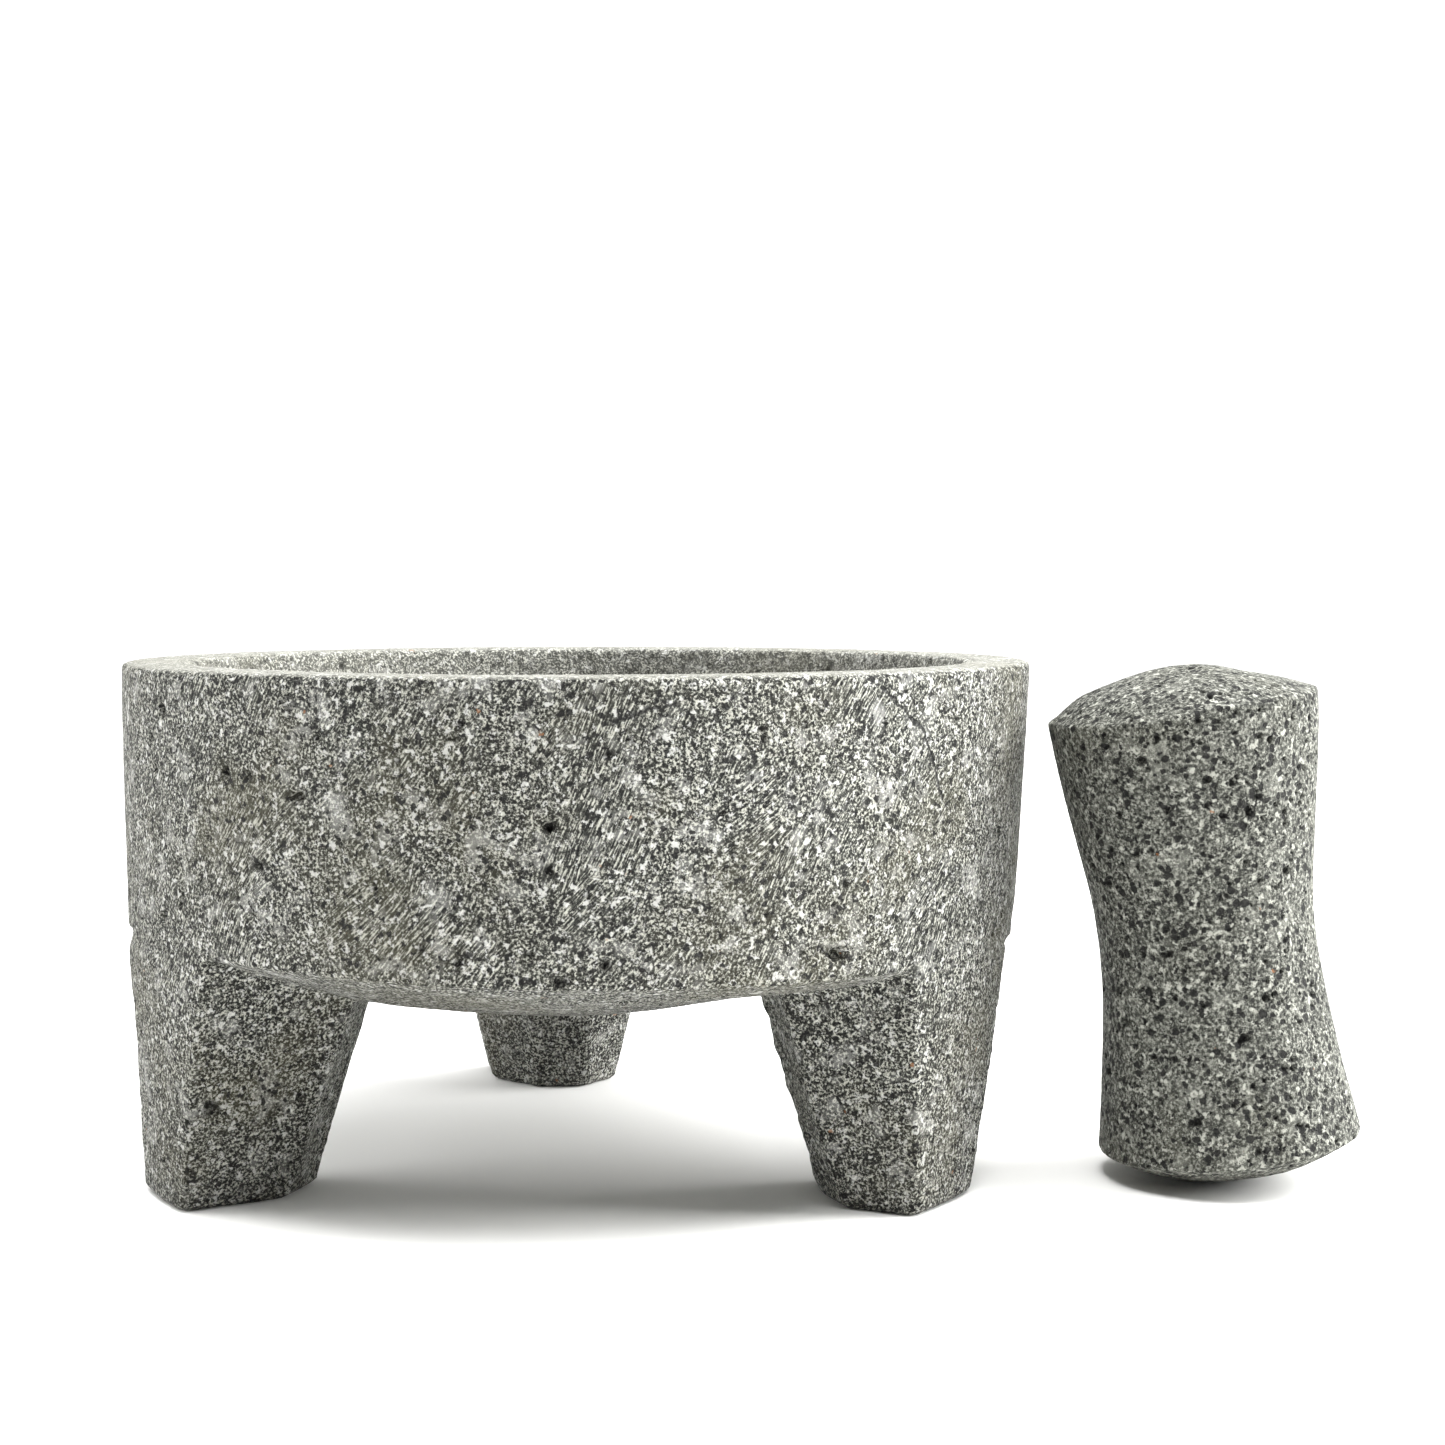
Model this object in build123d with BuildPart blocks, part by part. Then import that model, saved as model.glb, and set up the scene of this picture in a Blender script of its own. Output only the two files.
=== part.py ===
"""A three-legged stone mortar and its hourglass pestle, each carved from one block of basalt.

Frame: the origin is on the floor under the centre of the mortar's rim. Z is up, and X points
from the mortar to the pestle that stands beside it. Lengths are millimetres, angles degrees.
"""
from build123d import *
from math import cos, radians, sin, tan
import os

os.makedirs("parts", exist_ok=True)

# ---- Mortar: the block that everything is cut from ----
HEIGHT = 110.7
RIM_RADIUS = 100.0
CREASE_RADIUS = 98.0
FOOT_RADIUS = 95.3
BODY_LEAN = 1.2
CREASE_DROP = 58.0
BELLY_DROP = 76.5
RIM_EDGE_ROUND = 1.2
OVERRUN = 6.0

# ---- Mortar: the bowl ----
MOUTH_RADIUS = 85.3
SHOULDER_RADIUS = 77.0
SHOULDER_DROP = 30.0
BOWL_DEPTH = 54.0

# ---- Mortar: the legs ----
# Each outline is a ring of corners in the leg's own plane: distance out from the block's axis, and
# distance across from the leg's centre line. The first two corners lie past the outer surface.
LEG_REACH = RIM_RADIUS + OVERRUN
ROOT_HEIGHT = 56.0
ROOT_ROUND = 1.2
SOLE_EDGE_BREAK = 1.2
LEGS = {
    "left": {
        "azimuth": 206.5,
        "foot": [(LEG_REACH, -11), (LEG_REACH, 12.5), (72.5, 12), (63, 3), (63, -3), (73, -11)],
        "root": [(LEG_REACH, -14), (LEG_REACH, 27), (58, 25.5), (46, 6), (46, -7), (58, -14)],
    },
    "right": {
        "azimuth": 323.7,
        "foot": [(LEG_REACH, -9.5), (LEG_REACH, 12), (74, 12), (62, 3), (70, -8), (79, -14.5)],
        "root": [(LEG_REACH, -17), (LEG_REACH, 31), (60, 30), (46, 2), (51, -9), (64, -23.5)],
    },
    "back": {
        "azimuth": 94.0,
        "foot": [(LEG_REACH, -15.5), (LEG_REACH, 15.5), (75.5, 15.5), (64, 5), (63, -7.5), (72, -15.5)],
        "root": [(LEG_REACH, -28), (LEG_REACH, 28), (62, 28), (47, 8), (46, -9), (59, -28)],
    },
}

# ---- Pestle ----
PESTLE_X = 134.0
PESTLE_Y = -33.5
PESTLE_TILT = -7.0
BASE_RADIUS = 27.5
BASE_CAP_HEIGHT = 8.0
WAIST_LENGTH = 94.7
LOWER_RADIUS = 24.1
WAIST_RADIUS = 22.7
UPPER_RADIUS = 25.5
HEAD_RADIUS = 28.2
HEAD_CAP_HEIGHT = 7.9
PESTLE_EDGE_BREAK = 0.8


def leaning_plane(origin, lean):
    """Upright plane for a profile: its local y is an axis that leans from Z towards +X."""
    angle = radians(lean)
    return Plane(origin=origin, x_dir=(cos(angle), 0, -sin(angle)), z_dir=(0, -1, 0))


def turning_axis(plane):
    """The axis that a profile drawn on a leaning plane turns about."""
    return Axis(origin=plane.origin, direction=plane.y_dir)


def leg_plane(azimuth):
    """Floor plane of one leg: local x points outwards along the leg's centre line."""
    angle = radians(azimuth)
    foot_of_axis = (-HEIGHT * tan(radians(BODY_LEAN)), 0, 0)
    return Plane(origin=foot_of_axis, x_dir=(cos(angle), sin(angle), 0), z_dir=(0, 0, 1))


# ---- Mortar ----
block_plane = leaning_plane((0, 0, HEIGHT), BODY_LEAN)
block_axis = turning_axis(block_plane)

with BuildPart() as mortar:
    # Everything above the domed underside, wider than the block
    with BuildSketch(block_plane):
        with BuildLine():
            belly = TangentArc((0, -BELLY_DROP), (CREASE_RADIUS, -CREASE_DROP), tangent=(1, 0))
            Polyline(
                belly @ 1,
                (RIM_RADIUS + OVERRUN, -CREASE_DROP),
                (RIM_RADIUS + OVERRUN, OVERRUN),
                (0, OVERRUN),
                belly @ 0,
            )
        make_face()
    revolve(axis=block_axis)

    # Three tapering legs, which also run out past the block's surface
    for leg in LEGS.values():
        floor_plane = leg_plane(leg["azimuth"])
        with BuildSketch(floor_plane):
            Polygon(*leg["foot"], align=None)
        with BuildSketch(floor_plane.offset(ROOT_HEIGHT)):
            Polygon(*leg["root"], align=None)
        loft(ruled=True)

    # The block's turned outer surface trims the wall and the legs flush with each other
    with BuildSketch(block_plane):
        with BuildLine():
            wall = ThreePointArc(
                (FOOT_RADIUS, -HEIGHT), (CREASE_RADIUS, -CREASE_DROP), (RIM_RADIUS, 0)
            )
            below = Line(wall @ 0, wall @ 0 - (wall % 0) * OVERRUN)
            above = Line(wall @ 1, wall @ 1 + (wall % 1) * OVERRUN)
            Polyline(above @ 1, (0, (above @ 1).Y), (0, (below @ 1).Y), below @ 1)
        make_face()
    revolve(axis=block_axis, mode=Mode.INTERSECT)

    # The bowl
    with BuildSketch(block_plane):
        with BuildLine():
            hollow = Spline(
                (0, -BOWL_DEPTH),
                (SHOULDER_RADIUS, -SHOULDER_DROP),
                (MOUTH_RADIUS, 0),
                tangents=((1, 0), (0.08, 1)),
            )
            mouth = Line(hollow @ 1, hollow @ 1 + (hollow % 1) * OVERRUN)
            Polyline(mouth @ 1, (0, (mouth @ 1).Y), hollow @ 0)
        make_face()
    revolve(axis=block_axis, mode=Mode.SUBTRACT)

    # Level rim and level soles
    split(bisect_by=Plane.XY.offset(HEIGHT), keep=Keep.BOTTOM)
    split(bisect_by=Plane.XY, keep=Keep.TOP)

    # Small hollows where the legs meet the underside, then the worn rim and sole edges
    underside = mortar.faces().filter_by(GeomType.SPHERE)[0]
    fillet(underside.edges().filter_by(GeomType.BSPLINE), radius=ROOT_ROUND)
    rim_face = mortar.faces().filter_by(Axis.Z).sort_by(Axis.Z)[-1]
    fillet(rim_face.edges(), radius=RIM_EDGE_ROUND)
    soles = mortar.faces().filter_by(Axis.Z).group_by(Axis.Z)[0]
    chamfer(soles.edges(), length=SOLE_EDGE_BREAK)

mortar.part.label = "mortar"
export_step(mortar.part, "parts/mortar.step")

# ---- Pestle ----
# The lowest point of the domed base is under the centre of the sphere that the dome belongs to
base_dome_radius = (BASE_RADIUS**2 + BASE_CAP_HEIGHT**2) / (2 * BASE_CAP_HEIGHT)
pestle_plane = leaning_plane((PESTLE_X, PESTLE_Y, base_dome_radius), PESTLE_TILT)
base_crease = BASE_CAP_HEIGHT - base_dome_radius
head_crease = base_crease + WAIST_LENGTH

with BuildPart() as pestle:
    with BuildSketch(pestle_plane):
        with BuildLine():
            base = TangentArc((0, -base_dome_radius), (BASE_RADIUS, base_crease), tangent=(1, 0))
            head = TangentArc(
                (0, head_crease + HEAD_CAP_HEIGHT), (HEAD_RADIUS, head_crease), tangent=(1, 0)
            )
            Spline(
                base @ 1,
                (LOWER_RADIUS, base_crease + WAIST_LENGTH / 4),
                (WAIST_RADIUS, base_crease + WAIST_LENGTH / 2),
                (UPPER_RADIUS, base_crease + WAIST_LENGTH * 3 / 4),
                head @ 1,
            )
            Line(head @ 0, base @ 0)
        make_face()
    revolve(axis=turning_axis(pestle_plane))
    creases = pestle.edges().filter_by(GeomType.CIRCLE)
    fillet(creases, radius=PESTLE_EDGE_BREAK)

pestle.part.label = "pestle"
export_step(pestle.part, "parts/pestle.step")

for piece in (mortar.part, pestle.part):
    box = piece.bounding_box()
    print(piece.label, "solids", len(piece.solids()), "volume cm3", round(piece.volume / 1000, 1))
    print("  from", tuple(box.min), "to", tuple(box.max))
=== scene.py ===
# %% [markdown]
# # A three-legged stone mortar and its pestle
# The CAD model fixes where the two stones are and how big they are. This script carves their real
# surface: the wavy hand-cut faces, the open pores of the lava, the worn edges and the grain.
# Everything is in metres, with Z up and the floor at zero.

# %% Load the frame
import bpy
import bmesh
import math
import numpy as np
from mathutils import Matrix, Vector


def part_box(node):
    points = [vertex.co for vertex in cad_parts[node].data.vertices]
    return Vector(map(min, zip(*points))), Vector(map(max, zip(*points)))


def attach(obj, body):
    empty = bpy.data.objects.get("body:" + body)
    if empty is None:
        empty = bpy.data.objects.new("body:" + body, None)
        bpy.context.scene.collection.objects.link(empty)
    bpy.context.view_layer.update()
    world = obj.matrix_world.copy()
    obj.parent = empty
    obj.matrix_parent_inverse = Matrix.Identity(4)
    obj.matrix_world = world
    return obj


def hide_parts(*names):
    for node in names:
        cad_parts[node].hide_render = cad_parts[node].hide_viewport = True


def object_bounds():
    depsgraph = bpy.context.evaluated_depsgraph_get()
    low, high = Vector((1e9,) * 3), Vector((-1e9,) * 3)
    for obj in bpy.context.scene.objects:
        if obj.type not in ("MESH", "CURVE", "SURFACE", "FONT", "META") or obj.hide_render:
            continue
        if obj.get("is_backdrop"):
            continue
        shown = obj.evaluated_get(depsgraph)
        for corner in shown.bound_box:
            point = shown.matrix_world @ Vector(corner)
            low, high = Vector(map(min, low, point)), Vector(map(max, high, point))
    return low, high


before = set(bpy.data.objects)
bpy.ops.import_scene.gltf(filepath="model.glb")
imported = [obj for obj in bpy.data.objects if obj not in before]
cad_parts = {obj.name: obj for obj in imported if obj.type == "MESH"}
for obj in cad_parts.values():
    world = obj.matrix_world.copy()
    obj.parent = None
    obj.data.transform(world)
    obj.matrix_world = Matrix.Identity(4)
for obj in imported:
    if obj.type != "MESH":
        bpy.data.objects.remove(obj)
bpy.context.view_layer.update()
MM = 0.001

# %% [markdown]
# ## One helper for every node tree
# Geometry trees and material trees are both made of nodes with settings, inputs and links. One
# small function adds any of them: settings are the node's own properties, and each input is
# either a plain value or another node's output.

# %% A function that adds a node
def add(tree, kind, inputs=None, **settings):
    """A new node: its settings are set first, then its inputs are given values or links."""
    node = tree.nodes.new(kind)
    for name, value in settings.items():
        setattr(node, name, value)
    for key, value in (inputs or {}).items():
        if isinstance(value, bpy.types.NodeSocket):
            tree.links.new(value, node.inputs[key])
        else:
            node.inputs[key].default_value = value
    return node


def linear(code):
    """An sRGB hex colour as linear red, green, blue and alpha."""
    channels = [int(code[i:i + 2], 16) / 255 for i in (1, 3, 5)]
    return [c / 12.92 if c <= 0.04045 else ((c + 0.055) / 1.055) ** 2.4 for c in channels] + [1.0]


# %% [markdown]
# ## An evenly faceted copy of each stone
# The CAD node's mesh is long loose triangles, which cannot hold small dents. Merging its doubles
# and remeshing it with voxels gives a closed skin of small, even faces. A voxel remesh also takes
# the razor edge off every corner, which is right for stone that has been ground and knocked.

# %% Copy, merge and remesh
def bake_modifiers(piece):
    """Turns a piece with modifiers into a plain mesh."""
    bpy.context.view_layer.update()
    depsgraph = bpy.context.evaluated_depsgraph_get()
    result = bpy.data.meshes.new_from_object(piece.evaluated_get(depsgraph))
    piece.modifiers.clear()
    piece.data = result
    return piece


def even_copy(node, name, voxel):
    """A closed copy of a CAD node with faces about one voxel across."""
    piece = bpy.data.objects.new(name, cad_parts[node].data.copy())
    bpy.context.scene.collection.objects.link(piece)
    piece.data.materials.clear()
    shell = bmesh.new()
    shell.from_mesh(piece.data)
    bmesh.ops.remove_doubles(shell, verts=shell.verts, dist=0.001 * MM)
    bmesh.ops.recalc_face_normals(shell, faces=shell.faces)
    shell.to_mesh(piece.data)
    shell.free()
    remesh = piece.modifiers.new("even faces", "REMESH")
    remesh.mode = "VOXEL"
    remesh.voxel_size = voxel
    remesh.adaptivity = 0
    bake_modifiers(piece)
    print(name, "remeshed to", len(piece.data.polygons), "faces")
    return piece


MORTAR_VOXEL = 0.75 * MM
PESTLE_VOXEL = 0.42 * MM
mortar = even_copy("mortar", "mortar_stone", MORTAR_VOXEL)
pestle = even_copy("pestle", "pestle_stone", PESTLE_VOXEL)

# %% [markdown]
# ## What the carver's hand did
# A lathe would leave perfect curves. These stones were cut by hand: the underside sags to one side,
# the left leg bulges under the wall, and the right leg's inner edge was left rough. These are broad
# shapes that follow a rule, so they are moved in code, point by point, before any small dent is cut.

# %% The mortar's broad shapes
def ramp(values, start, stop):
    """0 before start, 1 after stop, and an even curve between them, for a whole array."""
    t = np.clip((values - start) / (stop - start), 0, 1)
    return t * t * (3 - 2 * t)


def read_points(piece):
    """Every point of a piece, one row each."""
    points = np.empty(len(piece.data.vertices) * 3, np.float32)
    piece.data.vertices.foreach_get("co", points)
    return points.reshape(-1, 3).astype(float)


def write_points(piece, points):
    """Puts every point of a piece back."""
    piece.data.vertices.foreach_set("co", points.astype(np.float32).ravel())
    piece.data.update()


RIM_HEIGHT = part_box("mortar")[1].z
BELLY_FLAT = 2.6 * MM
BELLY_SAG = 0.8 * MM
WALL_SHIFT = 0.45 * MM
LEG_BULGE = 0.5
LEG_BULGE_AT_TOP = 0.6
CREASE_PUSH = 0.4 * MM

points = read_points(mortar)
across = np.hypot(points[:, 0], points[:, 1])
on_belly = 1 - ramp(points[:, 2], 0.046, 0.054)
on_belly *= 1 - ramp(across, 0.060, 0.092)
on_belly *= ramp(points[:, 2], 0.024, 0.034)
points[:, 2] += BELLY_FLAT * on_belly * ramp(points[:, 0], -0.010, 0.045)
points[:, 2] -= BELLY_SAG * on_belly * ramp(-points[:, 0], 0.010, 0.050)

# The wall sits a little to the left over the bowl, and the left leg's outer face bulges at its top
points[:, 0] -= WALL_SHIFT * ramp(across, 0.086, 0.090)
on_left_leg = ramp(-points[:, 0], 0.078, 0.088) * (1 - ramp(points[:, 2], 0.0505, 0.0555))
bulge = LEG_BULGE + LEG_BULGE_AT_TOP * ramp(points[:, 2], 0.030, 0.050)
points[:, 0] -= bulge * MM * on_left_leg
on_right_crease = ramp(points[:, 0], 0.080, 0.090) * ramp(points[:, 2], 0.049, 0.0515)
points[:, 0] -= CREASE_PUSH * on_right_crease * (1 - ramp(points[:, 2], 0.0525, 0.060))

# The right leg's inner edge was left rough: it stands out at the top and has shallow bites
EDGE_FOOT = np.array([49.0, -34.0, 0.0]) * MM
EDGE_RISE = np.array([-10.5, 2.0, 45.0]) / 45.0
EDGE_OUT = np.array([-0.806, 0.592, 0.0])
EDGE_PROUD = 2.0
BITE_DEPTH = 0.6
LONG_BITE = 0.0093
SHORT_BITE = 0.0041
height = points[:, 2]
from_edge = np.linalg.norm(points - EDGE_FOOT - np.outer(height, EDGE_RISE), axis=1)
near_edge = (1 - ramp(from_edge, 0.004, 0.014)) * (1 - ramp(height, 0.040, 0.047))
bites = 0.5 * np.sin(height * 2 * math.pi / LONG_BITE)
bites += 0.3 * np.sin(height * 2 * math.pi / SHORT_BITE)
proud = EDGE_PROUD * ramp(height, 0.008, 0.040) + BITE_DEPTH * bites
points += np.outer(near_edge * proud * MM, EDGE_OUT)
write_points(mortar, points)
print("underside moved by up to", round(BELLY_FLAT / MM, 1), "mm")

# %% [markdown]
# ## Large pits in the wall
# A few gas bubbles were large enough to leave a pit that stands out among the fine ones. There are
# only six, so their places are listed, in whole degrees and millimetres. The wall is
# treated as if it were unrolled flat, arc length by height, which keeps each pit round.

# %% The pits
WALL_RADIUS = 98.0
WALL_INSIDE = 93.0
PIT_SQUASH = 1.25
PIT_WOBBLE = 0.3


def on_wall(turn, drop):
    """Arc length and height on the unrolled wall, from degrees right of the front and mm below the rim."""
    return WALL_RADIUS * math.radians(turn - 90), RIM_HEIGHT / MM - drop


# Degrees to the right of the front, millimetres below the rim, then radius and depth in millimetres
PITS = [(-44, 19, 1.8, 1.9), (-33, 23, 1.9, 2.0), (-30, 12, 1.1, 1.0),
        (-14, 11, 1.2, 1.2), (28, 53, 1.4, 1.3), (30, 54, 2.3, 2.3)]
points = read_points(mortar) / MM
arc = WALL_RADIUS * np.arctan2(points[:, 1], points[:, 0])
reach = np.hypot(points[:, 0], points[:, 1])
inward = -points * [1, 1, 0] / np.maximum(reach, 1)[:, None]
for turn, drop, width, depth in PITS:
    pit_arc, pit_height = on_wall(turn, drop)
    away = np.hypot(arc - pit_arc, PIT_SQUASH * (points[:, 2] - pit_height))
    away += PIT_WOBBLE * np.sin(2.2 * points[:, 2])
    hollow = (1 - ramp(away, 0.4 * width, 1.1 * width)) * (reach > WALL_INSIDE)
    points += inward * (depth * hollow)[:, None]
write_points(mortar, points * MM)
print(len(PITS), "large pits opened in the wall")

# %% [markdown]
# ## The pestle's broad shapes
# The pestle leans, and it was shaped by hand too. Its head is a blunt cone rather than a dome, more
# so on the right, its left corner is worn down, and its waist has soft flats. Each point is
# measured along and around the pestle's own axis, and moved by a rule.

# %% The pestle's head and waist
TILT = math.radians(7.0)
BASE_DOME = 51.27 * MM
BASE_POINT = np.array([134.0, -33.5, 0.0]) * MM
HEAD_CREASE = 102.7 * MM
HEAD_RADIUS = 28.2 * MM
HEAD_DROP = 0.5 * MM
RIGHT_DROP = 1.0 * MM
CORNER_DROP = 1.4 * MM
WAIST_SWELL = 0.6 * MM
PESTLE_FLATS = 9
FLAT_DEPTH = 0.25 * MM

points = read_points(pestle)
axis = np.array([-math.sin(TILT), 0.0, math.cos(TILT)])
side = np.array([math.cos(TILT), 0.0, math.sin(TILT)])
dome_centre = BASE_POINT + np.array([0.0, 0.0, BASE_DOME])
local = points - dome_centre
along = local @ axis + BASE_DOME
beside = local @ side
behind = local[:, 1]
out = np.hypot(beside, behind)
turn = np.arctan2(behind, beside)

# The head: a cone on each side, and the worn corner on the left
cone = 4 * (out / HEAD_RADIUS) * np.clip(1 - out / HEAD_RADIUS, 0, 1)
left = ramp(-beside / HEAD_RADIUS, -0.1, 0.5)
right = ramp(beside / HEAD_RADIUS, 0.1, 0.6)
on_head = ramp(along, HEAD_CREASE, HEAD_CREASE + MM)
corner = left * ramp(out / HEAD_RADIUS, 0.72, 0.98)
corner *= ramp(along, HEAD_CREASE - 6 * MM, HEAD_CREASE - MM)
drop = (HEAD_DROP * left + RIGHT_DROP * right) * cone * on_head + CORNER_DROP * corner
points -= np.outer(drop, axis)

# Soft upright flats round the waist, which fade out on the two domed ends
flat = 0.5 - 0.5 * np.cos(PESTLE_FLATS * turn + 2.0 * np.sin(turn))
outward = np.outer(np.cos(turn), side) + np.outer(np.sin(turn), [0.0, 1.0, 0.0])
swell = WAIST_SWELL - FLAT_DEPTH * flat
points += outward * (swell * ramp(out, 0.4 * HEAD_RADIUS, 0.7 * HEAD_RADIUS))[:, None]
write_points(pestle, points)
print("pestle's worn corner lowered by up to", round(CORNER_DROP / MM, 1), "mm")

# %% [markdown]
# ## Hand-cut waviness and worn edges
# A Geometry Nodes tree moves every point along its normal. Two noises give the slow waves that a
# chisel and a grinding stone leave. Sharp corners are found by comparing each point with the
# average of its neighbours: it stands proud of them only on an edge. There, a blotchy noise knocks
# small chips off. Inside the bowl the stone was pecked, not sawn, so a finer noise is added there.

# %% The tree that cuts waves, chips and peck marks
def new_geometry_tree(name, numbers):
    """An empty tree with a geometry in and out, a material and named number inputs."""
    tree = bpy.data.node_groups.new(name, "GeometryNodeTree")
    tree.interface.new_socket("Geometry", in_out="OUTPUT", socket_type="NodeSocketGeometry")
    tree.interface.new_socket("Geometry", in_out="INPUT", socket_type="NodeSocketGeometry")
    tree.interface.new_socket("Material", in_out="INPUT", socket_type="NodeSocketMaterial")
    for number in numbers:
        tree.interface.new_socket(number, in_out="INPUT", socket_type="NodeSocketFloat")
    return tree, add(tree, "NodeGroupInput").outputs


def finish_tree(tree, geometry, material):
    """Ends a tree in smooth shading, Realize Instances and Set Material."""
    smooth = add(tree, "GeometryNodeSetShadeSmooth", {"Geometry": geometry})
    real = add(tree, "GeometryNodeRealizeInstances", {"Geometry": smooth.outputs[0]})
    dressed = add(tree, "GeometryNodeSetMaterial", {"Geometry": real.outputs[0], "Material": material})
    add(tree, "NodeGroupOutput", {0: dressed.outputs[0]})


def maths(tree, operation, *values):
    """The result of one sum on one, two or three values."""
    return add(tree, "ShaderNodeMath", dict(enumerate(values)), operation=operation).outputs[0]


def vector_maths(tree, operation, *values):
    """One sum on vectors. Lengths, distances and dot products give a number, the rest a vector."""
    node = add(tree, "ShaderNodeVectorMath", dict(enumerate(values)), operation=operation)
    return node.outputs[1 if operation in ("LENGTH", "DISTANCE", "DOT_PRODUCT") else 0]


def scaled(tree, vector, factor):
    """A vector made longer or shorter by a factor."""
    return add(tree, "ShaderNodeVectorMath", {0: vector, "Scale": factor}, operation="SCALE").outputs[0]


def from_axis(tree, place):
    """How far a place is from the upright axis through the middle of the mortar."""
    return vector_maths(tree, "LENGTH", vector_maths(tree, "MULTIPLY", place, (1.0, 1.0, 0.0)))


def spread(tree, value, low, high, to_low=0.0, to_high=1.0):
    """A value taken smoothly from one range to another."""
    inputs = {"Value": value, "From Min": low, "From Max": high, "To Min": to_low, "To Max": to_high}
    return add(tree, "ShaderNodeMapRange", inputs, interpolation_type="SMOOTHSTEP").outputs[0]


def noise(tree, vector, scale, detail=2.0, roughness=0.5):
    """A noise from 0 to 1 with about this many lumps to a unit of length."""
    inputs = {"Vector": vector, "Scale": scale, "Detail": detail, "Roughness": roughness}
    return add(tree, "ShaderNodeTexNoise", inputs).outputs[0]


HAND_NUMBERS = ["Wave Height", "Wave Length", "Ripple Height", "Ripple Length", "Chip Depth",
                "Peck Depth", "Peck Length", "Bowl Radius", "Bowl Floor"]
hand_tree, given = new_geometry_tree("hand_cut", HAND_NUMBERS)
place = add(hand_tree, "GeometryNodeInputPosition").outputs[0]
normal = add(hand_tree, "GeometryNodeInputNormal").outputs[0]
wave = noise(hand_tree, place, maths(hand_tree, "DIVIDE", 1.0, given["Wave Length"]))
wave = maths(hand_tree, "SUBTRACT", wave, 0.5)
wave = maths(hand_tree, "MULTIPLY", wave, given["Wave Height"])
ripple = noise(hand_tree, place, maths(hand_tree, "DIVIDE", 1.0, given["Ripple Length"]), 3.0, 0.6)
ripple = maths(hand_tree, "SUBTRACT", ripple, 0.5)
ripple = maths(hand_tree, "MULTIPLY", ripple, given["Ripple Height"])
neighbours = add(hand_tree, "GeometryNodeBlurAttribute", {"Value": place, "Iterations": 5},
                 data_type="FLOAT_VECTOR")
proud = vector_maths(hand_tree, "SUBTRACT", place, neighbours.outputs[0])
proud = vector_maths(hand_tree, "DOT_PRODUCT", proud, normal)
edge = spread(hand_tree, proud, 0.05 * MM, 0.35 * MM)
blotch = spread(hand_tree, noise(hand_tree, place, 1 / (5 * MM), 3.0, 0.6), 0.46, 0.68)
chip = maths(hand_tree, "MULTIPLY", maths(hand_tree, "MULTIPLY", edge, blotch), given["Chip Depth"])
height_up = add(hand_tree, "ShaderNodeSeparateXYZ", {0: place}).outputs[2]
inside = maths(hand_tree, "LESS_THAN", from_axis(hand_tree, place), given["Bowl Radius"])
above = maths(hand_tree, "GREATER_THAN", height_up, given["Bowl Floor"])
in_bowl = maths(hand_tree, "MULTIPLY", inside, above)
peck = noise(hand_tree, place, maths(hand_tree, "DIVIDE", 1.0, given["Peck Length"]), 2.0, 0.5)
peck = spread(hand_tree, peck, 0.40, 0.62)
peck = maths(hand_tree, "MULTIPLY", maths(hand_tree, "MULTIPLY", peck, in_bowl), given["Peck Depth"])
waves = maths(hand_tree, "ADD", wave, ripple)
lift = maths(hand_tree, "SUBTRACT", waves, maths(hand_tree, "ADD", chip, peck))
move = scaled(hand_tree, normal, lift)
cut = add(hand_tree, "GeometryNodeSetPosition", {"Geometry": given["Geometry"], "Offset": move})
finish_tree(hand_tree, cut.outputs[0], given["Material"])
print("hand_cut tree has", len(hand_tree.nodes), "nodes")

# %% [markdown]
# ## Open pores
# Gas bubbles in the lava left holes of many sizes. The tree scatters one seed point for each pore
# over the stone, gives it a random size, and pushes every nearby point of the skin inwards into a
# small round pit. A wobble in the distance keeps the mouths from being perfect circles. How deep
# a point lies in its pore is stored too, because the material paints shade down there.

# %% The tree that opens pores
RARE_LARGE_PORES = 2.5
PORE_WOBBLE = 1.6
PORE_NUMBERS = ["Pores per Square Metre", "Smallest Radius", "Largest Radius", "Depth Share", "Seed"]
pore_tree, given = new_geometry_tree("open_pores", PORE_NUMBERS)
place = add(pore_tree, "GeometryNodeInputPosition").outputs[0]
normal = add(pore_tree, "GeometryNodeInputNormal").outputs[0]
seeds = add(pore_tree, "GeometryNodeDistributePointsOnFaces",
            {"Mesh": given["Geometry"], "Density": given["Pores per Square Metre"], "Seed": given["Seed"]})
nearest = add(pore_tree, "GeometryNodeSampleNearest", {"Geometry": seeds.outputs[0]}).outputs[0]
index = add(pore_tree, "GeometryNodeInputIndex").outputs[0]
chance = add(pore_tree, "FunctionNodeRandomValue", {"ID": index, "Seed": given["Seed"]},
             data_type="FLOAT")
chance = maths(pore_tree, "POWER", chance.outputs[1], RARE_LARGE_PORES)
size = add(pore_tree, "ShaderNodeMapRange", {"Value": chance, "To Min": given["Smallest Radius"],
           "To Max": given["Largest Radius"]}).outputs[0]
radius = add(pore_tree, "GeometryNodeSampleIndex", {0: seeds.outputs[0], 1: size, "Index": nearest},
             data_type="FLOAT").outputs[0]
centre = add(pore_tree, "GeometryNodeSampleIndex", {0: seeds.outputs[0], 1: place, "Index": nearest},
             data_type="FLOAT_VECTOR").outputs[0]
wobble = add(pore_tree, "ShaderNodeTexNoise", {"Vector": place, "Scale": 1 / (1.3 * MM)}).outputs[1]
wobble = vector_maths(pore_tree, "SUBTRACT", wobble, (0.5, 0.5, 0.5))
wobble = scaled(pore_tree, wobble, maths(pore_tree, "MULTIPLY", radius, PORE_WOBBLE))
away = vector_maths(pore_tree, "DISTANCE", vector_maths(pore_tree, "ADD", place, wobble), centre)
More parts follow.
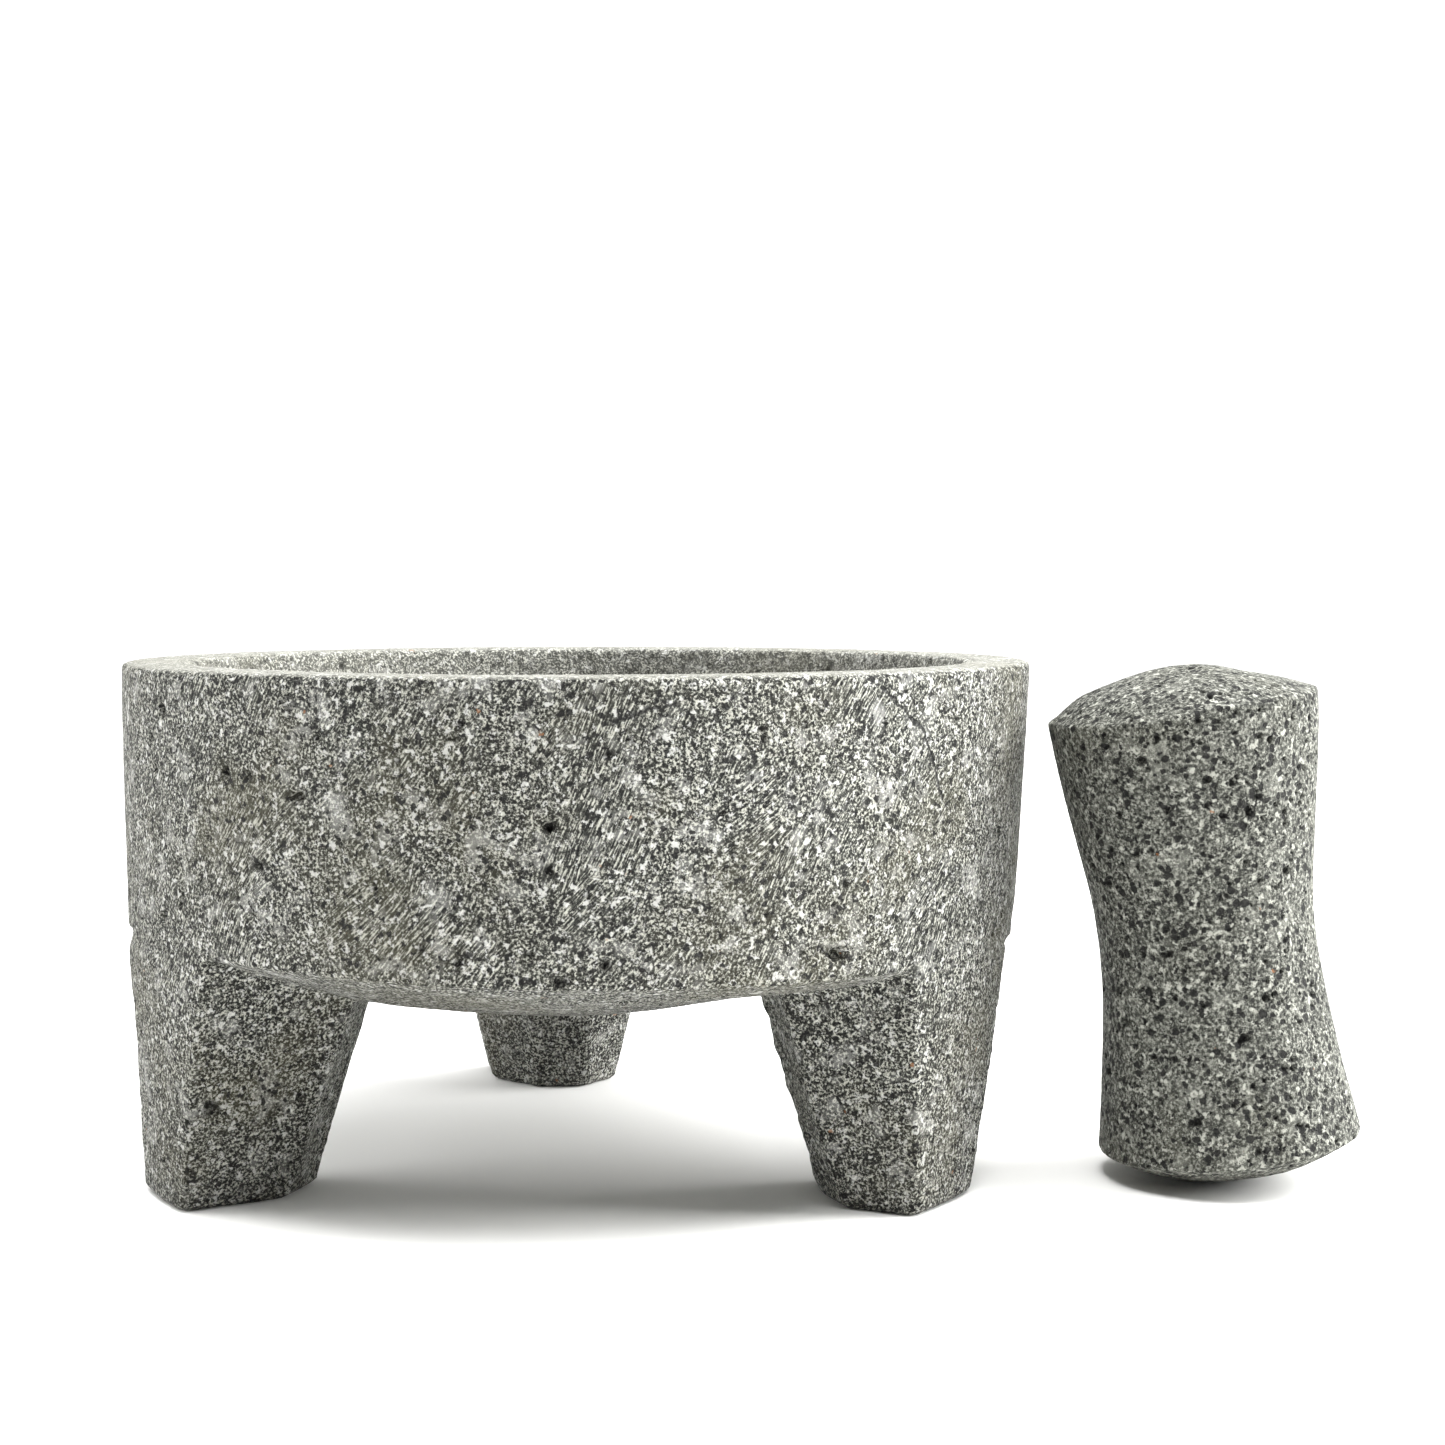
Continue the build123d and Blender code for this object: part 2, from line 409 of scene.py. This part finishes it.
away = maths(pore_tree, "DIVIDE", away, radius)
hollow = spread(pore_tree, away, 0.35, 1.0, 1.0, 0.0)
depth = maths(pore_tree, "MULTIPLY", maths(pore_tree, "MULTIPLY", hollow, radius), given["Depth Share"])
depth = maths(pore_tree, "MULTIPLY", depth, -1.0)
move = scaled(pore_tree, normal, depth)
before = add(pore_tree, "GeometryNodeInputNamedAttribute", {"Name": "pore"}, data_type="FLOAT")
deepest = maths(pore_tree, "MAXIMUM", before.outputs[0], hollow)
marked = add(pore_tree, "GeometryNodeStoreNamedAttribute",
             {"Geometry": given["Geometry"], "Name": "pore", "Value": deepest},
             data_type="FLOAT", domain="POINT")
opened = add(pore_tree, "GeometryNodeSetPosition", {"Geometry": marked.outputs[0], "Offset": move})
finish_tree(pore_tree, opened.outputs[0], given["Material"])
print("open_pores tree has", len(pore_tree.nodes), "nodes")

# %% [markdown]
# ## The stone's finish
# Vesicular basalt is a dark grey lava full of pale feldspar grains and small black holes. It was
# sawn and ground dry, so it is matt, and its speckle is strong: black next to nearly white within
# a millimetre. The material mixes patterns at their real sizes: the fine matrix (0.55 to 0.7 mm),
# pale grains and fine pores (1 to 2 mm), rust spots (3 mm), pale clusters (6 mm) and slow stains.
# The same patterns drive the bump, so a dark dot is also a hole.

# %% The basalt material
CLUSTER_SIZE = 6.0
RUST_SIZE = 3.2
STAIN_SIZE = 34.0
RUST = "#8a5a35"
GRAIN_STRENGTH = 0.65
HOLE_STRENGTH = 0.92
RUST_STRENGTH = 0.7
# Painted shade: how far the depths of carved pores are laid towards the pore colour
PORE_SHADE_STRENGTH = 0.9
GRAIN_RELIEF = 0.08
HOLE_RELIEF = -0.5


def mix(tree, amount, under, over):
    """One colour laid over another by an amount."""
    return add(tree, "ShaderNodeMix", {"Factor": amount, 6: under, 7: over}, data_type="RGBA").outputs[2]


def speckle(tree, vector, size, seed, low, high):
    """Ragged spots of about one size: the peaks of a noise, 0 below low and 1 above high."""
    grain = add(tree, "ShaderNodeTexNoise", {"Vector": vector, "W": seed, "Scale": 1 / size, "Detail": 2.0,
                "Roughness": 0.6}, noise_dimensions="4D").outputs[0]
    return spread(tree, grain, low, high)


def dots(tree, vector, spacing, share, smallest, largest):
    """Scattered ragged dots: one in each chosen cell of a Voronoi pattern, each with its own radius."""
    cells = add(tree, "ShaderNodeTexVoronoi", {"Vector": vector, "Scale": 1 / spacing})
    chance = add(tree, "ShaderNodeSeparateColor", {0: cells.outputs["Color"]}).outputs
    chosen = maths(tree, "LESS_THAN", chance[0], share)
    edge = add(tree, "ShaderNodeMapRange", {"Value": chance[1], "To Min": smallest / spacing,
               "To Max": largest / spacing}).outputs[0]
    inner = maths(tree, "MULTIPLY", edge, 0.75)
    return maths(tree, "MULTIPLY", chosen, spread(tree, cells.outputs["Distance"], inner, edge, 1.0, 0.0))


def layer(tree, colour, amount, strength, hex_code):
    """Lays a colour over another wherever a pattern is 1, no stronger than a share."""
    return mix(tree, maths(tree, "MULTIPLY", amount, strength), colour, linear(hex_code))


def basalt(name, look, stroke=None):
    """A matt vesicular basalt. A stroke is a pair: a noise stretched along scratches, and its mask."""
    material = bpy.data.materials.new(name)
    material.use_nodes = True
    tree = material.node_tree
    tree.nodes.clear()
    place = add(tree, "ShaderNodeTexCoord").outputs["Object"]
    place = add(tree, "ShaderNodeMapping", {"Vector": place, "Scale": (1 / MM, 1 / MM, 1 / MM)}).outputs[0]

    fine = noise(tree, place, 1 / look["matrix size"], 3.0, 0.65)
    if stroke:
        scratch, where = stroke(tree, place)
        fine = add(tree, "ShaderNodeMix", {"Factor": where, "A": fine, "B": scratch}).outputs[0]
    fine = spread(tree, fine, look["matrix low"], look["matrix high"])
    matrix = add(tree, "ShaderNodeValToRGB", {"Fac": fine})
    stops = matrix.color_ramp.elements
    stops.new(0.45)
    for stop, shade in zip(stops, ("dark", "middle", "light")):
        stop.color = linear(look[shade])
    grains = speckle(tree, place, look["grain size"], 3.0, 0.56, 0.66)
    ragged = add(tree, "ShaderNodeTexNoise", {"Vector": place, "Scale": 0.8, "Detail": 3.0}).outputs[1]
    ragged = vector_maths(tree, "ADD", place, scaled(tree, ragged, 1.5))
    holes = speckle(tree, place, look["hole size"], 9.0, *look["hole range"])
    round_holes = dots(tree, ragged, *look["pores"])
    holes = maths(tree, "MAXIMUM", holes, round_holes)
    clusters = speckle(tree, place, CLUSTER_SIZE, 5.0, 0.52, 0.72)
    rust = speckle(tree, place, RUST_SIZE, 7.0, 0.73, 0.76)
    stain = speckle(tree, place, STAIN_SIZE, 2.0, 0.46, 0.70)
    carved = add(tree, "ShaderNodeAttribute", attribute_name="pore").outputs["Fac"]
    colour = layer(tree, matrix.outputs[0], grains, GRAIN_STRENGTH, look["grain"])
    colour = layer(tree, colour, clusters, look["cluster amount"], look["grain"])
    colour = layer(tree, colour, stain, look["stain amount"], look["stain"])
    colour = layer(tree, colour, holes, HOLE_STRENGTH, look["pore"])
    colour = layer(tree, colour, rust, RUST_STRENGTH, RUST)
    # Painted shade: the deeper a point lies in a carved pore, the darker it is laid
    colour = layer(tree, colour, carved, PORE_SHADE_STRENGTH, look["pore"])

    height = maths(tree, "MULTIPLY", fine, look["matrix relief"])
    height = maths(tree, "MULTIPLY_ADD", grains, GRAIN_RELIEF, height)
    height = maths(tree, "MULTIPLY_ADD", holes, HOLE_RELIEF, height)
    return material, {"tree": tree, "place": place, "colour": colour, "height": height}


def finish_stone(parts):
    """The last nodes of a stone: bump in millimetres, and a rough dielectric shader."""
    tree = parts["tree"]
    bump = add(tree, "ShaderNodeBump", {"Strength": 1.0, "Distance": 1 * MM, "Height": parts["height"]})
    shader = add(tree, "ShaderNodeBsdfPrincipled", {"Base Color": parts["colour"], "Normal": bump.outputs[0],
                 "Roughness": 0.85, "IOR": 1.5, "Specular IOR Level": 0.3})
    add(tree, "ShaderNodeOutputMaterial", {0: shader.outputs[0]})


# %% [markdown]
# ## Grinding marks, and painted light on the rim and in the bowl
# The wall was dressed with a hand grinder: short parallel scratches less than 0.5 mm apart, in
# patches that each lean their own way, mostly rising to the right. The pattern runs on the
# unrolled wall. Each Voronoi patch turns it about the patch's own middle, so the scratches stay
# straight, and stretching a noise along them draws the grain of the stone out into short lines.
# The rim's level top is laid paler as a painted highlight, and the bowl as painted light. Two hairline
# cracks run near the rim.

# %% The mortar's material
MORTAR_LOOK = {"matrix size": 0.55, "matrix low": 0.39, "matrix high": 0.63, "matrix relief": 0.25,
               "dark": "#101110", "middle": "#42433e", "light": "#b0b0a6", "grain": "#dededa",
               "pore": "#0b0b0b", "grain size": 1.2, "hole size": 1.35, "hole range": (0.59, 0.64),
               "pores": (1.9, 0.30, 0.25, 0.75), "cluster amount": 0.24, "stain": "#57533d",
               "stain amount": 0.28}
PATCH_SIZE = 26.0
STROKE_LENGTH = 3.0
STROKE_SPACING = 0.42
PATCH_RAGGED = 14.0
LEAST_LEAN = math.radians(-35)
MOST_LEAN = math.radians(-72)


def unroll(tree, place):
    """The outer wall laid flat: arc length along it, then height, then nothing."""
    apart = add(tree, "ShaderNodeSeparateXYZ", {0: place}).outputs
    arc = maths(tree, "MULTIPLY", maths(tree, "ARCTAN2", apart[1], apart[0]), WALL_RADIUS)
    return add(tree, "ShaderNodeCombineXYZ", {0: arc, 1: apart[2]}).outputs[0]


def grinding(tree, place):
    """Scratches in leaning patches on the outer wall, and how strongly they show at each place."""
    height_up = add(tree, "ShaderNodeSeparateXYZ", {0: place}).outputs[2]
    unrolled = unroll(tree, place)
    ragged = add(tree, "ShaderNodeTexNoise", {"Vector": unrolled, "Scale": 0.2}).outputs[1]
    ragged = vector_maths(tree, "ADD", unrolled, scaled(tree, ragged, PATCH_RAGGED))
    patches = add(tree, "ShaderNodeTexVoronoi", {"Vector": ragged, "Scale": 1 / PATCH_SIZE},
                  voronoi_dimensions="2D")
    chance = add(tree, "ShaderNodeSeparateColor", {0: patches.outputs["Color"]}).outputs
    middle = scaled(tree, patches.outputs["Position"], PATCH_SIZE)
    lean = add(tree, "ShaderNodeMapRange", {"Value": chance[0], "To Min": LEAST_LEAN,
               "To Max": MOST_LEAN}).outputs[0]
    turned = add(tree, "ShaderNodeVectorRotate", {"Vector": unrolled, "Center": middle, "Angle": lean},
                 rotation_type="Z_AXIS").outputs[0]
    stretched = add(tree, "ShaderNodeMapping", {"Vector": turned,
                    "Scale": (1 / STROKE_LENGTH, 1 / STROKE_SPACING, 1.0)}).outputs[0]
    scratch = noise(tree, stretched, 1.0, 2.0, 0.6)
    reach = from_axis(tree, place)
    where = spread(tree, noise(tree, unrolled, 1 / 18, 3.0, 0.6), 0.38, 0.64, 0.05, 0.65)
    where = maths(tree, "MULTIPLY", where, spread(tree, reach, 91.0, 94.0))
    where = maths(tree, "MULTIPLY", where, spread(tree, height_up, 30.0, 60.0, 0.3, 1.0))
    below_rim = spread(tree, height_up, RIM_HEIGHT / MM - 1.2, RIM_HEIGHT / MM - 0.4, 1.0, 0.0)
    where = maths(tree, "MULTIPLY", where, below_rim)
    return scratch, where


def near_line(tree, vector, start, stop):
    """The distance in millimetres from each place to a straight line between two points."""
    run = Vector(stop) - Vector(start)
    offset = vector_maths(tree, "SUBTRACT", vector, start)
    along = vector_maths(tree, "DOT_PRODUCT", offset, run / run.length_squared)
    along = add(tree, "ShaderNodeClamp", {"Value": along}).outputs[0]
    return vector_maths(tree, "DISTANCE", offset, scaled(tree, run, along))


# Two hairline cracks near the rim: degrees to the right of the front, and millimetres below the rim
CRACKS = [[(35, 3), (39, 8), (42, 12), (44, 18), (46, 26)],
          [(3, 8), (7, 6), (10, 5)]]
CRACK_HALF_WIDTH = 0.32
CRACK_WANDER = (2.6, 2.6, 0.0)
RIM_PAINTED_HIGHLIGHT = "#b9b9af"
BOWL_PAINTED_LIGHT = "#c4c4ba"
mortar_material, parts = basalt("basalt_sawn_and_ground", MORTAR_LOOK, grinding)
tree = parts["tree"]
height_up = add(tree, "ShaderNodeSeparateXYZ", {0: parts["place"]}).outputs[2]
# Painted highlight: the rim's level top is laid paler, standing in for light glancing off it
rim = spread(tree, height_up, RIM_HEIGHT / MM - 0.6, RIM_HEIGHT / MM - 0.25)
parts["colour"] = layer(tree, parts["colour"], rim, 0.28, RIM_PAINTED_HIGHLIGHT)
reach = from_axis(tree, parts["place"])
# Painted light: the inside of the bowl is laid paler, standing in for the overhead light on its
# upward-facing wall
inside = spread(tree, reach, 86.0, 88.0, 1.0, 0.0)
in_bowl = maths(tree, "MULTIPLY", inside, spread(tree, height_up, 55.0, 57.0))
parts["colour"] = layer(tree, parts["colour"], in_bowl, 0.16, BOWL_PAINTED_LIGHT)
unrolled = unroll(tree, parts["place"])
jagged = add(tree, "ShaderNodeTexNoise", {"Vector": unrolled, "Scale": 0.45, "Detail": 4.0}).outputs[1]
jagged = vector_maths(tree, "SUBTRACT", jagged, (0.5, 0.5, 0.5))
jagged = vector_maths(tree, "ADD", unrolled, vector_maths(tree, "MULTIPLY", jagged, CRACK_WANDER))
distance = 1000.0
for crack in CRACKS:
    corners = [(*on_wall(turn, drop), 0) for turn, drop in crack]
    for start, stop in zip(corners, corners[1:]):
        distance = maths(tree, "MINIMUM", distance, near_line(tree, jagged, start, stop))
cracked = spread(tree, distance, CRACK_HALF_WIDTH * 0.5, CRACK_HALF_WIDTH * 1.6, 1.0, 0.0)
cracked = maths(tree, "MULTIPLY", cracked, spread(tree, reach, 93.0, 95.0))
parts["colour"] = layer(tree, parts["colour"], cracked, 0.85, "#0b0b0b")
parts["height"] = maths(tree, "MULTIPLY_ADD", cracked, -0.6, parts["height"])
finish_stone(parts)
print("mortar material has", len(tree.nodes), "nodes")

# %% [markdown]
# ## The pestle's coarser stone
# The pestle comes from another block, with more and larger bubbles and paler grains. It was pecked
# to shape and ground smooth by use, so it has no grinding lines, and here and there an iron-rich
# grain has rusted.

# %% The pestle's material
PESTLE_LOOK = {"matrix size": 0.70, "matrix low": 0.32, "matrix high": 0.70, "matrix relief": 0.2,
               "dark": "#1a1b19", "middle": "#494a44", "light": "#8b8c84", "grain": "#bcbdb3",
               "pore": "#060606", "grain size": 1.5, "hole size": 1.6, "hole range": (0.61, 0.66),
               "pores": (2.0, 0.62, 0.40, 1.05), "cluster amount": 0.15, "stain": "#4f4d3b",
               "stain amount": 0.2}
pestle_material, parts = basalt("basalt_pecked_and_worn", PESTLE_LOOK)
finish_stone(parts)
print("pestle material has", len(parts["tree"].nodes), "nodes")

# %% [markdown]
# ## Carve both stones
# Each stone gets the hand-cut tree once and the pore tree twice, for the few large bubbles and for
# the many small ones. A collapse decimation then keeps small faces in the dents and larger ones
# where the stone is plain. The result is baked into one plain mesh for each body.

# %% Run the trees
FACE_LIMIT = 196000


def run_tree(piece, tree, material, numbers):
    """Adds a Geometry Nodes modifier and sets its inputs by their identifiers."""
    modifier = piece.modifiers.new(tree.name, "NODES")
    modifier.node_group = tree
    inputs = [item for item in tree.interface.items_tree if item.in_out == "INPUT"]
    identifiers = {item.name: item.identifier for item in inputs}
    modifier[identifiers["Material"]] = material
    for name, value in numbers.items():
        modifier[identifiers[name]] = float(value)


def pores(density, smallest, largest, share, seed):
    """The inputs of one layer of pores: radii in millimetres, density for a square metre."""
    return dict(zip(PORE_NUMBERS, (density, smallest * MM, largest * MM, share, seed)))


def carve(piece, material, hand, layers):
    """Runs the trees on a piece, thins its faces to the limit and bakes the result."""
    run_tree(piece, hand_tree, material, hand)
    for numbers in layers:
        run_tree(piece, pore_tree, material, numbers)
    bake_modifiers(piece)
    triangles = sum(len(face.vertices) - 2 for face in piece.data.polygons)
    if triangles > FACE_LIMIT:
        thin = piece.modifiers.new("thin", "DECIMATE")
        thin.ratio = FACE_LIMIT / triangles
        bake_modifiers(piece)
    for face in piece.data.polygons:
        face.use_smooth = True
    marks = piece.data.attributes["pore"].data
    deep = sum(mark.value > 0.5 for mark in marks) / len(marks)
    print(piece.name, "has", len(piece.data.polygons), "faces, and a share", round(deep, 3), "is in pores")


carve(mortar, mortar_material,
      {"Wave Height": 0.6 * MM, "Wave Length": 32 * MM, "Ripple Height": 0.35 * MM, "Ripple Length": 4 * MM,
       "Chip Depth": 0.7 * MM, "Peck Depth": 0.35 * MM, "Peck Length": 3.0 * MM,
       "Bowl Radius": 87.5 * MM, "Bowl Floor": 55.0 * MM},
      [pores(900, 1.0, 2.2, 0.9, 3), pores(9000, 0.6, 1.2, 0.8, 5)])
carve(pestle, pestle_material,
      {"Wave Height": 0.5 * MM, "Wave Length": 22 * MM, "Ripple Height": 0.30 * MM, "Ripple Length": 3 * MM,
       "Chip Depth": 0.7 * MM, "Peck Depth": 0.0, "Peck Length": 3.0 * MM,
       "Bowl Radius": 0.0, "Bowl Floor": 1.0},
      [pores(5000, 0.9, 1.7, 1.0, 11), pores(70000, 0.45, 1.0, 0.9, 13)])

# %% [markdown]
# ## Keep inside the CAD box
# Waves push some points out by a few tenths of a millimetre. The soles and the pestle's base must
# still stand on the floor, and nothing may leave the CAD box, so each point is held inside it.

# %% Hold every point inside the CAD node's box
for piece, node in ((mortar, "mortar"), (pestle, "pestle")):
    low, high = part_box(node)
    points = read_points(piece)
    write_points(piece, np.clip(points, np.array(low), np.array(high)))
    print(node, "held inside", [round(v / MM, 1) for v in (*low, *high)], "mm")

# %% [markdown]
# ## Bodies and replaced nodes
# Each carved stone rides on its own body and stands in for its CAD node, which is hidden.

# %% Tell the frame what each piece is
for piece, node in ((mortar, "mortar"), (pestle, "pestle")):
    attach(piece, node)
    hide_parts(node)

# %% [markdown]
# ## The floor
# The stones stand on a plain white sheet of paper that is large enough to fill the view from any
# side. It is only part of the stage, so it is kept out of the finished model.

# %% The floor
FLOOR_HALF = 6.0
floor_mesh = bpy.data.meshes.new("floor")
corners = [(-FLOOR_HALF, -FLOOR_HALF, 0), (FLOOR_HALF, -FLOOR_HALF, 0),
           (FLOOR_HALF, FLOOR_HALF, 0), (-FLOOR_HALF, FLOOR_HALF, 0)]
floor_mesh.from_pydata(corners, [], [(0, 1, 2, 3)])
floor = bpy.data.objects.new("floor", floor_mesh)
bpy.context.scene.collection.objects.link(floor)
paper = bpy.data.materials.new("white_paper_sheet")
paper.use_nodes = True
paper.node_tree.nodes["Principled BSDF"].inputs["Base Color"].default_value = linear("#f8f8f6")
paper.node_tree.nodes["Principled BSDF"].inputs["Roughness"].default_value = 0.9
floor_mesh.materials.append(paper)
floor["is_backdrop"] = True

# %% [markdown]
# ## The lights
# A soft light hangs overhead, with one at each side, the right one much the stronger. A wide
# ceiling glow, a white far wall and a dim near side fill the rest, which keeps the faces that look
# towards the camera darker than the sides.

# %% The lights and the white room
LAMP_WIDTH = 0.9
CEILING_SPREAD = math.radians(70)
CEILING_POWER = 2.2
CEILING_TILT = math.radians(-6)


def soft_light(name, place, target, power):
    """A square area light at a place, turned to a target."""
    lamp = bpy.data.lights.new(name, "AREA")
    lamp.size = LAMP_WIDTH
    lamp.energy = power
    holder = bpy.data.objects.new(name, lamp)
    holder.location = place
    holder.rotation_euler = (Vector(target) - Vector(place)).to_track_quat("-Z", "Y").to_euler()
    bpy.context.scene.collection.objects.link(holder)


soft_light("overhead", (0.15, -0.12, 1.1), (0, 0, 0.03), 22)
soft_light("left", (-1.2, 0.1, 0.55), (0, 0, 0.05), 10)
soft_light("right", (1.3, 0.0, 0.6), (0.1, 0, 0.05), 50)
sky = bpy.data.lights.new("ceiling", "SUN")
sky.angle = CEILING_SPREAD
sky.energy = CEILING_POWER
ceiling = bpy.data.objects.new("ceiling", sky)
ceiling.rotation_euler = (CEILING_TILT, 0, 0)
bpy.context.scene.collection.objects.link(ceiling)

# The far wall of the room is white, and the side that the camera stands on sends less light. What
# is seen straight behind the stones stays white from every side
FAR_WALL = 1.12
NEAR_WALL = 0.05
world = bpy.data.worlds.new("white_room")
world.use_nodes = True
tree = world.node_tree
tree.nodes.clear()
aim = add(tree, "ShaderNodeTexCoord").outputs["Generated"]
aim = add(tree, "ShaderNodeSeparateXYZ", {0: aim}).outputs[1]
glow = spread(tree, aim, -0.7, 0.4, NEAR_WALL, FAR_WALL)
seen = maths(tree, "MULTIPLY", add(tree, "ShaderNodeLightPath").outputs["Is Camera Ray"], FAR_WALL)
glow = maths(tree, "MAXIMUM", glow, seen)
room = add(tree, "ShaderNodeBackground", {"Color": linear("#ffffff"), "Strength": glow})
add(tree, "ShaderNodeOutputWorld", {0: room.outputs[0]})
bpy.context.scene.world = world
bpy.context.scene.view_settings.view_transform = "Standard"
print(len(bpy.data.lights), "lights in a white room")

# %% [markdown]
# ## The camera
# The camera looks from a little above the rim, from about half a metre away, turned slightly to
# the right and down so that both stones are in view.

# %% Place the camera
CAMERA_PLACE = Vector((-1.5, -539.6, 128.8)) * MM
CAMERA_DOWN = math.radians(3.44)
CAMERA_RIGHT = math.radians(3.50)
CAMERA_LENS = 59.82
CAMERA_SENSOR = 36.0
camera = bpy.data.objects.new("camera", bpy.data.cameras.new("camera"))
camera.location = CAMERA_PLACE
camera.rotation_euler = (math.radians(90) - CAMERA_DOWN, 0, -CAMERA_RIGHT)
camera.data.lens = CAMERA_LENS
camera.data.sensor_width = CAMERA_SENSOR
bpy.context.scene.collection.objects.link(camera)
bpy.context.scene.camera = camera

# %% [markdown]
# ## The size
# The carved stones must stay within the box that the CAD model fills, so the box that the shown
# stones fill is printed here, after each CAD box was printed where the points were held inside it.

# %% Print the visual box
low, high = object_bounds()
print("visual box from", tuple(low), "to", tuple(high))
